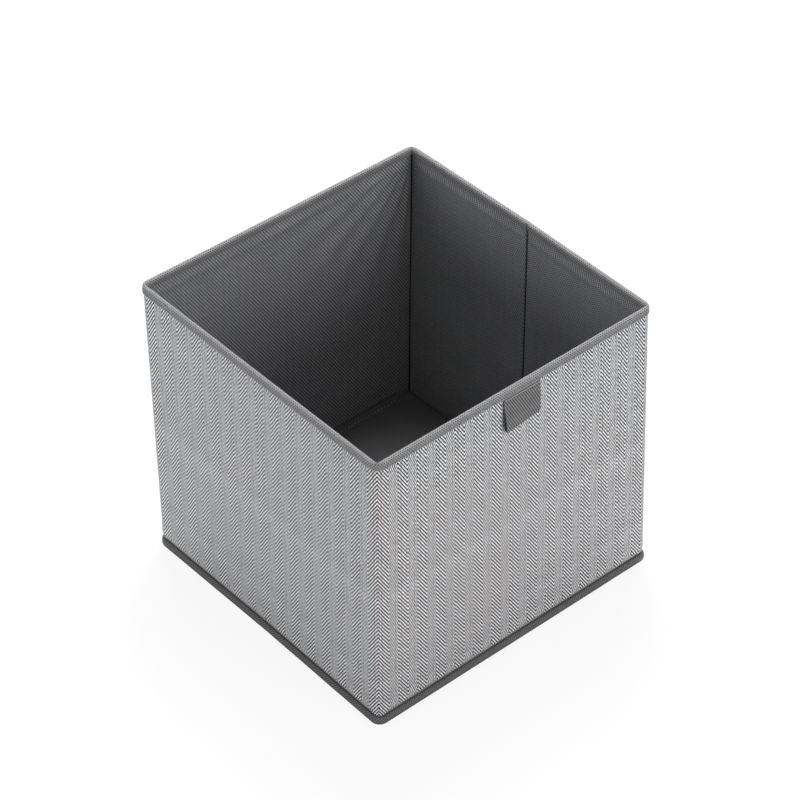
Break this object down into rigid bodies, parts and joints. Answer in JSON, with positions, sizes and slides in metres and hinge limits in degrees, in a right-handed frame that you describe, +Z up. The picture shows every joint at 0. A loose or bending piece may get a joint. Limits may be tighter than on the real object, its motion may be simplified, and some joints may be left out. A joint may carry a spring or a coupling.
{
  "type": "fabric storage bin",
  "caption": "Open square cloth bin with stiff walls, taped rim and foot, a pull tab, inward folding sides and a lifting base board.",
  "frame": {"origin": "middle of the base, on the surface that the bin stands on", "axes": "+Z up, -Y towards the front wall with the pull tab, +X towards the right side wall"},
  "size_m": [0.3022, 0.3045, 0.286],
  "materials": {
    "herringbone_cloth": "light grey herringbone weave, matt",
    "lining_cloth": "dark grey fine lining, matt",
    "stiff_board": "grey-brown pressed board",
    "rim_tape": "mid grey twill tape",
    "base_tape": "dark grey twill tape",
    "tab_tape": "grey twill tape",
    "sewing_thread": "grey sewing thread",
    "board_cover": "near black smooth cover cloth",
    "bottom_cloth": "dark non-woven cloth"
  },
  "bodies": {
    "rear_wall": {"outer_cloth_rear": "herringbone_cloth", "wall_board_rear": "stiff_board", "lining_rear": "lining_cloth", "rim_binding_rear": "rim_tape", "rim_thread_rear": "sewing_thread", "base_binding_rear": "base_tape", "bottom_cloth": "bottom_cloth"},
    "left_rear_panel": {"outer_cloth_left_rear": "herringbone_cloth", "wall_board_left_rear": "stiff_board", "lining_left_rear": "lining_cloth", "rim_binding_left_rear": "rim_tape", "rim_thread_left_rear": "sewing_thread", "base_binding_left_rear": "base_tape"},
    "left_front_panel": {"outer_cloth_left_front": "herringbone_cloth", "wall_board_left_front": "stiff_board", "lining_left_front": "lining_cloth", "rim_binding_left_front": "rim_tape", "rim_thread_left_front": "sewing_thread", "base_binding_left_front": "base_tape"},
    "front_wall": {"outer_cloth_front": "herringbone_cloth", "wall_board_front": "stiff_board", "lining_front": "lining_cloth", "rim_binding_front": "rim_tape", "rim_thread_front": "sewing_thread", "base_binding_front": "base_tape", "pull_tab_tail": "tab_tape", "pull_tab_thread": "sewing_thread"},
    "right_front_panel": {"outer_cloth_right_front": "herringbone_cloth", "wall_board_right_front": "stiff_board", "lining_right_front": "lining_cloth", "rim_binding_right_front": "rim_tape", "rim_thread_right_front": "sewing_thread", "base_binding_right_front": "base_tape"},
    "right_rear_panel": {"outer_cloth_right_rear": "herringbone_cloth", "wall_board_right_rear": "stiff_board", "lining_right_rear": "lining_cloth", "rim_binding_right_rear": "rim_tape", "rim_thread_right_rear": "sewing_thread", "base_binding_right_rear": "base_tape"},
    "base_board": {"base_board_core": "stiff_board", "base_board_upper_cover": "board_cover", "base_board_lower_cover": "board_cover", "base_board_tape": "board_cover", "base_board_stitches": "sewing_thread"},
    "pull_tab": {"pull_tab": "tab_tape"}
  },
  "joints": [
    {"name": "wall_fold", "type": "hinge", "parent": "rear_wall", "child": "left_rear_panel", "pos_m": [-0.1458, 0.1414, 0], "axis": [0, 0, 1], "range_deg": [0, 88], "deforming": ["base_binding_left_rear", "base_binding_left_front", "base_binding_front", "base_binding_right_front", "base_binding_right_rear", "bottom_cloth"]},
    {"name": "left_crease", "type": "hinge", "parent": "left_rear_panel", "child": "left_front_panel", "pos_m": [-0.1513, 0, 0], "axis": [0, 0, 1], "range_deg": [-176, 0]},
    {"name": "front_left_corner", "type": "hinge", "parent": "left_front_panel", "child": "front_wall", "pos_m": [-0.1458, -0.1414, 0], "axis": [0, 0, 1], "range_deg": [0, 88]},
    {"name": "front_right_corner", "type": "hinge", "parent": "front_wall", "child": "right_front_panel", "pos_m": [0.1458, -0.1414, 0], "axis": [0, 0, 1], "range_deg": [0, 88]},
    {"name": "right_crease", "type": "hinge", "parent": "right_front_panel", "child": "right_rear_panel", "pos_m": [0.1513, 0, 0], "axis": [0, 0, 1], "range_deg": [-176, 0]},
    {"name": "base_board_lift", "type": "hinge", "parent": "rear_wall", "child": "base_board", "pos_m": [0, 0.1454, 0.0088], "axis": [-1, 0, 0], "range_deg": [0, 90]},
    {"name": "pull_tab_swing", "type": "hinge", "parent": "front_wall", "child": "pull_tab", "pos_m": [0.003, -0.1512, 0.2755], "axis": [-1, 0, 0], "range_deg": [0, 85]}
  ],
  "couplings": [
    {"joint": "left_crease", "follows": "wall_fold", "ratio": -2},
    {"joint": "front_left_corner", "follows": "wall_fold", "ratio": 1},
    {"joint": "front_right_corner", "follows": "wall_fold", "ratio": 1},
    {"joint": "right_crease", "follows": "wall_fold", "ratio": -2}
  ]
}
